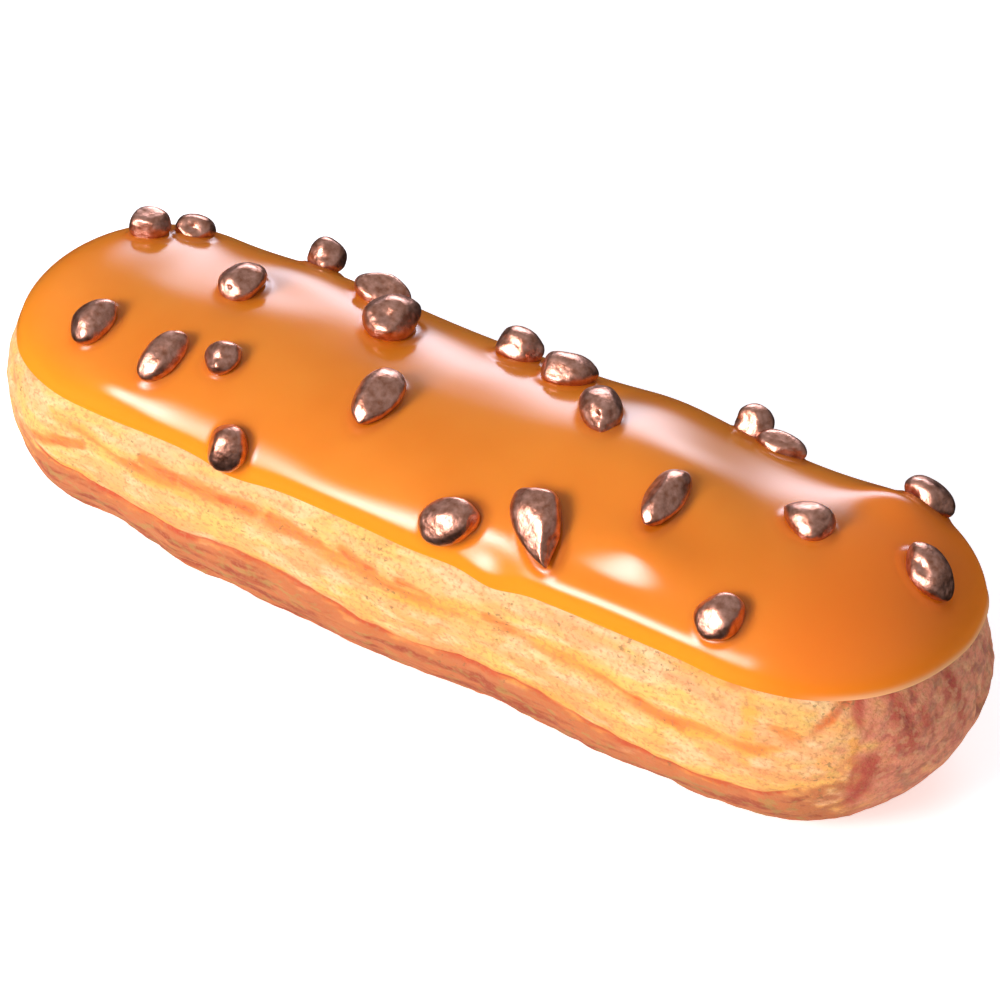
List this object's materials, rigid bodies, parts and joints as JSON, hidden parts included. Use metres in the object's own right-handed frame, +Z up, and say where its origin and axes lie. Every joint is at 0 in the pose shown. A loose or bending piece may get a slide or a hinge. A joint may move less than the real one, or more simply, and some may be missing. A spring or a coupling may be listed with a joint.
{
  "type": "caramel eclair",
  "caption": "Long choux pastry bun with piped ridges and a flat foot, coated on top with a smooth caramel glaze and strewn with bronze cocoa nibs.",
  "frame": {"origin": "middle of the flat foot, on the surface that the eclair stands on", "axes": "+X along the eclair's length, +Y across it, +Z up out of the glazed top"},
  "size_m": [0.1397, 0.0433, 0.0392],
  "materials": {
    "choux": "dry baked crust, pale gold with browner creases and foot",
    "glaze": "glossy poured caramel fondant",
    "nibs": "bronze lustre dusted over dark cocoa nibs"
  },
  "bodies": {
    "root": {"choux": "choux", "glaze": "glaze"}
  },
  "joints": []
}
